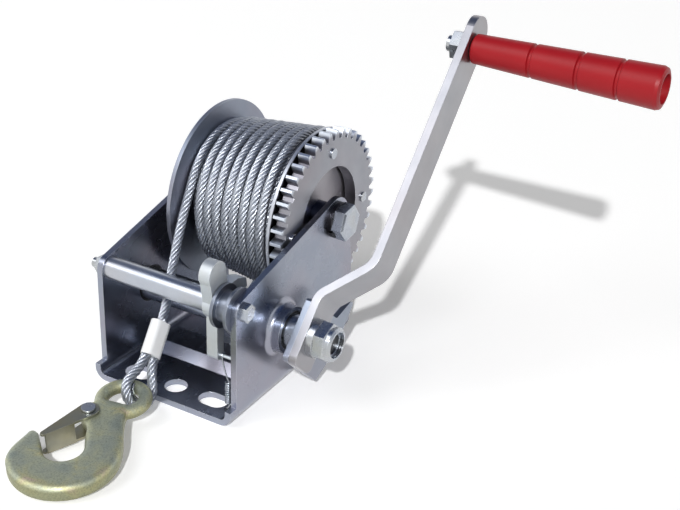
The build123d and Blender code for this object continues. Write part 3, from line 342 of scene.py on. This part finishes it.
def galvanised_wire():
    """Galvanised rope wire: each strand shows its bright wires with patches of zinc dust, and painted shade,
    dark grey, in the grooves between them.

    A real strand has more and finer wires: fewer are drawn, so that they show.
    """
    wires, wire_lay, wire_depth, dust_mm = 9, 7.5, 0.08, 3.5
    material, tree, shader, place = new_material("galvanised_wire")
    lay = add(tree, "ShaderNodeUVMap")
    parts = add(tree, "ShaderNodeSeparateXYZ", {"Vector": lay.outputs["UV"]})
    # The wires turn against the strands, so they run nearly along the rope
    around = add(tree, "ShaderNodeMath", {0: parts.outputs["Y"], 1: float(wires)}, operation="MULTIPLY")
    twist = add(
        tree, "ShaderNodeMath",
        {0: parts.outputs["X"], 1: wires / wire_lay, 2: around.outputs[0]}, operation="MULTIPLY_ADD",
    )
    phase = add(tree, "ShaderNodeMath", {0: twist.outputs[0], 1: 2 * math.pi}, operation="MULTIPLY")
    crown = add(tree, "ShaderNodeMath", {0: phase.outputs[0]}, operation="COSINE")
    spread = add(tree, "ShaderNodeTexNoise", {"Vector": place, "Scale": 1 / (dust_mm * MM), "Detail": 3.0})
    zinc = add(
        tree, "ShaderNodeMix",
        {0: spread.outputs["Fac"], 6: colour("#aab0ba"), 7: colour("#dbdfe7")}, data_type="RGBA",
    )
    # Painted shade: the grooves between the wires are painted dark grey
    groove_shade = add(
        tree, "ShaderNodeMapRange",
        {"Value": crown.outputs[0], "From Min": -1.0, "From Max": 0.1, "To Min": 0.6, "To Max": 0.0},
    )
    skin = add(
        tree, "ShaderNodeMix",
        {0: groove_shade.outputs["Result"], 6: zinc.outputs[2], 7: colour("#3a3b3f")}, data_type="RGBA",
    )
    gloss = add(
        tree, "ShaderNodeMapRange",
        {"Value": spread.outputs["Fac"], "From Min": NOISE_LOW, "From Max": NOISE_HIGH,
         "To Min": 0.42, "To Max": 0.30},
    )
    relief = add(
        tree, "ShaderNodeBump", {"Height": crown.outputs[0], "Strength": 0.5, "Distance": wire_depth * MM},
    )
    tree.links.new(skin.outputs[2], shader.inputs["Base Color"])
    tree.links.new(gloss.outputs["Result"], shader.inputs["Roughness"])
    tree.links.new(relief.outputs["Normal"], shader.inputs["Normal"])
    shader.inputs["Metallic"].default_value = 1.0
    return material


def moulded_plastic(name, dark, light, roughness, ior):
    """Injection-moulded plastic: an even colour with faint flow marks, a spark-eroded grain and a soft gloss.

    The real grain is about a tenth of a millimetre, and is drawn coarser so that it shows.
    """
    flow_mm, grain_mm, edge_mm = 18, 0.8, 0.4
    material, tree, shader, place = new_material(name)
    flow = add(tree, "ShaderNodeTexNoise", {"Vector": place, "Scale": 1 / (flow_mm * MM), "Detail": 3.0})
    body = add(
        tree, "ShaderNodeMix",
        {0: flow.outputs["Fac"], 6: colour(dark), 7: colour(light)}, data_type="RGBA",
    )
    grain = add(tree, "ShaderNodeTexNoise", {"Vector": place, "Scale": 1 / (grain_mm * MM), "Detail": 3.0})
    gloss = add(
        tree, "ShaderNodeMapRange",
        {"Value": grain.outputs["Fac"], "From Min": NOISE_LOW, "From Max": NOISE_HIGH,
         "To Min": roughness - 0.04, "To Max": roughness + 0.06},
    )
    rounded = add(tree, "ShaderNodeBevel", {"Radius": edge_mm * MM}, samples=4).outputs["Normal"]
    relief = add(
        tree, "ShaderNodeBump",
        {"Height": grain.outputs["Fac"], "Strength": 0.06, "Distance": GRAIN_DEPTH * MM, "Normal": rounded},
    )
    tree.links.new(body.outputs[2], shader.inputs["Base Color"])
    tree.links.new(gloss.outputs["Result"], shader.inputs["Roughness"])
    tree.links.new(relief.outputs["Normal"], shader.inputs["Normal"])
    shader.inputs["IOR"].default_value = ior
    shader.inputs["Specular IOR Level"].default_value = 0.35
    return material


hook_chromate = forged_chromate()
rope_metal = galvanised_wire()
grip_plastic = moulded_plastic("moulded_red_polypropylene", "#930e18", "#a3141d", roughness=0.42, ior=1.49)
bush_nylon = moulded_plastic("moulded_black_nylon", "#17181b", "#1f2024", roughness=0.40, ior=1.53)

finishes = {
    "frame_channel": sheet_zinc, "tie_bolt": hardware_zinc, "tie_nut": hardware_zinc,
    "tie_spacer_tube": tube_zinc, "pawl_bush": dark_steel, "pawl_washers": washer_zinc,
    "drum_bolt": hardware_zinc, "drum_lock_washer": dark_steel, "drum_nut": hardware_zinc,
    "left_shaft_bush": bush_nylon, "right_shaft_bush": bush_nylon,
    "ferrule": ferrule_metal, "thimble": hardware_zinc, "hook_body": hook_chromate,
    "latch_rivet": hardware_zinc, "hook_latch": latch_chromate,
    "drum_bush": blued_steel, "drum_core": drum_zinc, "left_flange": drum_zinc, "right_flange": shaded_flange_zinc,
    "drum_gear": gear_zinc, "gear_rivet_1": hardware_zinc, "gear_rivet_2": hardware_zinc,
    "gear_rivet_3": hardware_zinc, "gear_rivet_4": hardware_zinc, "rope_clamp": hardware_zinc,
    "pinion_shaft": shaft_zinc, "pinion_gear": washer_zinc, "ratchet_wheel": washer_zinc,
    "shaft_clip": dark_steel, "crank_hub_plate": hub_zinc, "crank_arm": crank_zinc,
    "crank_washer": hardware_zinc, "crank_nut": hardware_zinc, "grip_bolt": hardware_zinc,
    "grip_nut": hardware_zinc, "grip": grip_plastic, "pawl": pawl_zinc,
}
for name, material in finishes.items():
    nodes[name].data.materials.clear()
    nodes[name].data.materials.append(material)

# Wire rope
ROPE = 4.8
STRANDS = 6
LAY = 17.0
# A round route has this many control points to a turn, each a little outside the circle that it gives
STEPS_PER_TURN = 12
STEP_ANGLE = 360 / STEPS_PER_TURN
ROUND_UP = 1 / math.cos(math.pi / STEPS_PER_TURN)


def curve_object(name, kind, lines):
    """Curve object with one spline through, or near, each line of points in metres."""
    data = bpy.data.curves.new(name, "CURVE")
    data.dimensions = "3D"
    for line in lines:
        spline = data.splines.new(kind)
        spline.points.add(len(line) - 1)
        for target, point in zip(spline.points, line):
            target.co = (*point, 1.0)
        if kind == "NURBS":
            spline.order_u = 3
            spline.use_endpoint_u = True
    return bpy.data.objects.new(name, data)


def mesh_of(holder):
    """Mesh of a curve object, which is then removed."""
    data = holder.data
    mesh = bpy.data.meshes.new_from_object(holder)
    bpy.data.objects.remove(holder)
    bpy.data.curves.remove(data)
    return mesh


def route_points(points, resolution=8):
    """Points, in metres, along the smooth line that a rope takes past its route's points in millimetres."""
    holder = curve_object("route", "NURBS", [[Vector(point) * MM for point in points]])
    holder.data.resolution_u = resolution
    line = mesh_of(holder)
    found = [vertex.co.copy() for vertex in line.vertices]
    bpy.data.meshes.remove(line)
    return found


def length_of(line):
    """Length of a line of points."""
    return sum((b - a).length for a, b in zip(line, line[1:]))


def round_wire(name, holder, radius, sides, material):
    """Piece of round wire along a curve object's splines, with closed ends and the curve's own UV map."""
    holder.data.bevel_depth = radius
    holder.data.bevel_resolution = sides
    holder.data.use_fill_caps = True
    mesh = mesh_of(holder)
    shape = bmesh.new()
    shape.from_mesh(mesh)
    bmesh.ops.remove_doubles(shape, verts=shape.verts, dist=0.001 * MM)
    bmesh.ops.recalc_face_normals(shape, faces=shape.faces)
    for face in shape.faces:
        face.smooth = True
    shape.to_mesh(mesh)
    shape.free()
    mesh.name = name
    mesh.materials.clear()
    mesh.materials.append(material)
    piece = bpy.data.objects.new(name, mesh)
    scene.collection.objects.link(piece)
    return piece


def laid_rope(name, line, sides=2):
    """Rope of twisted strands along a line of points, with millimetres along it in its UV map."""
    strand = ROPE * MM / 6
    ring = ROPE * MM / 2 - strand
    strands = [[] for _ in range(STRANDS)]
    run = 0.0
    way = (line[1] - line[0]).normalized()
    side = way.orthogonal().normalized()
    for index, point in enumerate(line):
        if index:
            run += (point - line[index - 1]).length
            ahead = (line[min(index + 1, len(line) - 1)] - line[index - 1]).normalized()
            side = (way.rotation_difference(ahead) @ side).normalized()
            way = ahead
        for number in range(STRANDS):
            angle = 2 * math.pi * (number / STRANDS + run / (LAY * MM))
            strands[number].append(point + Matrix.Rotation(angle, 3, way) @ side * ring)
    piece = round_wire(name, curve_object(name, "POLY", strands), strand, sides, rope_metal)
    reach = length_of(strands[0]) / MM
    for corner in piece.data.uv_layers[0].data:
        corner.uv.x *= reach
    return piece


def drum_point(x, radius, degrees):
    """Point on a winding about the drum's axis."""
    turn = math.radians(degrees)
    return x, DRUM_Y + radius * math.cos(turn), DRUM_Z + radius * math.sin(turn)


# The last turn on the drum and the lead down to the ferrule
LANE_X = -24.5
LAST_RADIUS = 34.0
LEAVE_ANGLE = 153.0
LAST_WRAP = 240.0
LEAVE_RUN, FERRULE_RUN = 13.0, 9.0      # straight off the drum, and straight into the ferrule
LEAD_BEND = [(-23.2, -8.0, 63.8), (-20.4, -16.8, 53.0), (-17.0, -25.5, 44.6)]
EYE_CENTRE = Vector((-5.9, -64.4, 9.9))
FERRULE_BOTTOM = Vector((-8.6, -52.3, 20.6))
FERRULE_LENGTH = 16.9
leave = math.radians(LEAVE_ANGLE)
leave_way = Vector((0, -math.sin(leave), math.cos(leave)))
leave_point = Vector(drum_point(LANE_X, LAST_RADIUS, LEAVE_ANGLE))
eye_way = (FERRULE_BOTTOM - EYE_CENTRE).normalized()
ferrule_top = FERRULE_BOTTOM + eye_way * FERRULE_LENGTH
lead_route = [drum_point(LANE_X, LAST_RADIUS, LEAVE_ANGLE - LAST_WRAP)]
lead_route += [
    drum_point(LANE_X, LAST_RADIUS * ROUND_UP, LEAVE_ANGLE - LAST_WRAP + (step + 0.5) * STEP_ANGLE)
    for step in range(int(LAST_WRAP / STEP_ANGLE))
]
lead_route += [leave_point + leave_way * LEAVE_RUN, *LEAD_BEND, ferrule_top + eye_way * FERRULE_RUN, ferrule_top]
lead_line = route_points(lead_route)
rope_lead = laid_rope("rope_lead_strands", lead_line)
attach(rope_lead, "frame")
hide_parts("rope_last_turn", "rope_lead")

# The layer of turns that shows on the drum, and the layer under it
SWAYS_PER_TURN = 0.37


def winding_route(turns, start_x, end_x, start_radius, end_radius, wander):
    """Control points of a winding, both ends on the rope's own circle, whose turns wander a little sideways."""
    route = [drum_point(start_x, start_radius, 0)]
    steps = turns * STEPS_PER_TURN
    for step in range(steps):
        share = (step + 0.5) / steps
        sway = wander * math.sin(2 * math.pi * SWAYS_PER_TURN * turns * share) * math.sin(math.pi * share)
        radius = start_radius + (end_radius - start_radius) * share
        x = start_x + (end_x - start_x) * share + sway
        route.append(drum_point(x, radius * ROUND_UP, (step + 0.5) * STEP_ANGLE))
    route.append(drum_point(end_x, end_radius, 0))
    return route


outer_route = winding_route(
    turns=8, start_x=-19.178, end_x=23.4, start_radius=35.6, end_radius=40.1, wander=0.22,
)
rope_winding = laid_rope("rope_winding_strands", route_points(outer_route))
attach(rope_winding, "drum")
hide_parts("rope_winding")

inner_route = winding_route(
    turns=10, start_x=-24.5, end_x=23.6, start_radius=28.7, end_radius=35.0, wander=0.0,
)
rope_underlay = laid_rope("rope_underlay_strands", route_points(inner_route), sides=1)
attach(rope_underlay, "drum")
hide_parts("rope_inner_layers")

# The eye through the ring of the hook
EYE_RADIUS = 7.8
EYE_SIDE = Vector((-0.35, -0.72, 0.60))
LEG_GAP = 2.65
EYE_STEPS = 8
eye_normal = eye_way.cross(EYE_SIDE).normalized()
eye_across = eye_normal.cross(eye_way)
eye_reach = (FERRULE_BOTTOM - EYE_CENTRE).length
leg_bend = eye_reach - ROPE
leg_angle = math.atan2(LEG_GAP, leg_bend) + math.acos(EYE_RADIUS / math.hypot(leg_bend, LEG_GAP))
eye_step = (2 * math.pi - 2 * leg_angle) / EYE_STEPS
eye_flat = [(eye_reach, LEG_GAP), (leg_bend, LEG_GAP)]
for step in range(EYE_STEPS):
    angle = leg_angle + (step + 0.5) * eye_step
    radius = EYE_RADIUS / math.cos(eye_step / 2)
    eye_flat.append((radius * math.cos(angle), radius * math.sin(angle)))
eye_flat += [(leg_bend, -LEG_GAP), (eye_reach, -LEG_GAP)]
eye_line = route_points([EYE_CENTRE + eye_way * x + eye_across * y for x, y in eye_flat])
rope_eye = laid_rope("rope_eye_strands", eye_line)
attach(rope_eye, "frame")
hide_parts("rope_eye")

# Pawl spring of bright wire, hooked in the base and over the stud on the pawl
SPRING_X, SPRING_Y = 31.0, -46.0
SPRING_WIRE, SPRING_RADIUS, SPRING_PITCH, SPRING_TURNS = 0.7, 1.3, 1.2, 10
FOOT_BOTTOM, FOOT_TOP, COIL_BOTTOM, LEG_BOTTOM = 0.8, 3.2, 5.2, 20.2
STUD_Y, STUD_Z, HOOK_REACH, HOOK_DROP = -45.8, 30.2, 1.45, 2.0
# The hook leans to the pawl's face, which keeps it beside the pinion when the pawl swings in
HOOK_X = 28.0
foot_y = SPRING_Y - SPRING_RADIUS
spring_route = [(SPRING_X, foot_y, FOOT_BOTTOM), (SPRING_X, foot_y, FOOT_TOP)]
for step in range(SPRING_TURNS * STEPS_PER_TURN):
    angle = math.radians((step + 0.5) * STEP_ANGLE)
    spring_route.append((
        SPRING_X + SPRING_RADIUS * ROUND_UP * math.cos(angle),
        SPRING_Y + SPRING_RADIUS * ROUND_UP * math.sin(angle),
        COIL_BOTTOM + SPRING_PITCH * (step + 0.5) / STEPS_PER_TURN,
    ))
spring_route += [
    (SPRING_X, STUD_Y - HOOK_REACH, LEG_BOTTOM),
    (HOOK_X, STUD_Y - HOOK_REACH, STUD_Z + HOOK_REACH),
    (HOOK_X, STUD_Y + HOOK_REACH, STUD_Z + HOOK_REACH),
    (HOOK_X, STUD_Y + HOOK_REACH, STUD_Z - HOOK_DROP),
]
spring_holder = curve_object("pawl_spring_route", "NURBS", [[Vector(point) * MM for point in spring_route]])
spring_holder.data.resolution_u = 3
pawl_spring = round_wire("pawl_spring_wire", spring_holder, SPRING_WIRE / 2 * MM, 2, hardware_zinc)
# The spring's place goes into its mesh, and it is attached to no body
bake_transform(pawl_spring)
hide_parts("pawl_spring")


# Floor, light and surroundings
def seen_rays(tree):
    """One where the eye sees a surface, straight or in metal or glass, and nought where it only gives light."""
    rays = add(tree, "ShaderNodeLightPath")
    seen = rays.outputs["Is Camera Ray"]
    for kind in ("Is Glossy Ray", "Is Transmission Ray"):
        seen = add(tree, "ShaderNodeMath", {0: seen, 1: rays.outputs[kind]}, operation="MAXIMUM").outputs[0]
    return seen


# Matt white paper: it takes the soft shadow, and glows just enough to be seen as pure white beside it
FLOOR_HALF = 6.0        # metres
FLOOR_DROP = 0.2
FLOOR_GLOW = 0.25
floor_mesh = bpy.data.meshes.new("studio_floor")
shape = bmesh.new()
bmesh.ops.create_grid(shape, x_segments=1, y_segments=1, size=FLOOR_HALF)
bmesh.ops.translate(shape, verts=shape.verts, vec=(0, 0, -FLOOR_DROP * MM))
shape.to_mesh(floor_mesh)
shape.free()
floor = bpy.data.objects.new("studio_floor", floor_mesh)
scene.collection.objects.link(floor)
floor_paper, tree, shader, _ = new_material("white_paper_sweep")
shader.inputs["Base Color"].default_value = colour("#f8f8f8")
shader.inputs["Roughness"].default_value = 0.9
shader.inputs["Specular IOR Level"].default_value = 0.1
shader.inputs["Emission Color"].default_value = colour("#ffffff")
glow = add(tree, "ShaderNodeMath", {0: seen_rays(tree), 1: FLOOR_GLOW}, operation="MULTIPLY")
tree.links.new(glow.outputs[0], shader.inputs["Emission Strength"])
floor_mesh.materials.append(floor_paper)

# Lamps, with places in metres and directions as the camera's are given
LAMP_AIM = Vector((0.03, 0.03, 0.06))
LAMP_DISTANCE = 4.0
KEY_AZIMUTH, KEY_ELEVATION, KEY_ENERGY, KEY_SPREAD = 23.0, 38.7, 2.6, 2.0
SOFTBOX_AZIMUTH, SOFTBOX_ELEVATION, SOFTBOX_ENERGY, SOFTBOX_SIZE = -38.0, 49.0, 46.0, 2.2


def lamp_from(data, azimuth, elevation):
    """Lamp that looks at the winch from a direction."""
    lamp = bpy.data.objects.new(data.name, data)
    turn, lift = math.radians(azimuth), math.radians(elevation)
    toward = Vector((math.sin(turn) * math.cos(lift), -math.cos(turn) * math.cos(lift), math.sin(lift)))
    lamp.location = LAMP_AIM + toward * LAMP_DISTANCE
    lamp.rotation_euler = (-toward).to_track_quat("-Z", "Y").to_euler()
    scene.collection.objects.link(lamp)


key_data = bpy.data.lights.new("key_lamp", "SUN")
key_data.energy = KEY_ENERGY
key_data.angle = math.radians(KEY_SPREAD)
lamp_from(key_data, KEY_AZIMUTH, KEY_ELEVATION)
softbox_data = bpy.data.lights.new("overhead_softbox", "AREA")
softbox_data.shape = "SQUARE"
softbox_data.size = SOFTBOX_SIZE
softbox_data.energy = SOFTBOX_ENERGY
lamp_from(softbox_data, SOFTBOX_AZIMUTH, SOFTBOX_ELEVATION)

# White walls and a dusky blue ceiling, as the plated faces mirror them, and a little light from all round
WALL_TOP, CEILING_FROM = 0.34, 0.8      # heights on a sphere of radius one
AMBIENT = 0.1
world = bpy.data.worlds.new("studio")
scene.world = world
world.use_nodes = True
tree = world.node_tree
tree.nodes.clear()
sky_way = add(tree, "ShaderNodeTexCoord").outputs["Generated"]
height = add(tree, "ShaderNodeSeparateXYZ", {"Vector": sky_way}).outputs["Z"]
ceiling = add(
    tree, "ShaderNodeMapRange",
    {"Value": height, "From Min": WALL_TOP, "From Max": CEILING_FROM, "To Min": 0.0, "To Max": 1.0},
    interpolation_type="SMOOTHSTEP",
).outputs["Result"]
studio = add(
    tree, "ShaderNodeMix", {0: ceiling, 6: colour("#ffffff"), 7: colour("#3d4f74")}, data_type="RGBA",
)
backdrop = add(tree, "ShaderNodeBackground", {"Color": studio.outputs[2], "Strength": 1.0})
ambient = add(tree, "ShaderNodeBackground", {"Color": colour("#ffffff"), "Strength": AMBIENT})
both = add(tree, "ShaderNodeMixShader", {0: seen_rays(tree), 1: ambient.outputs[0], 2: backdrop.outputs[0]})
add(tree, "ShaderNodeOutputWorld", {"Surface": both.outputs[0]})
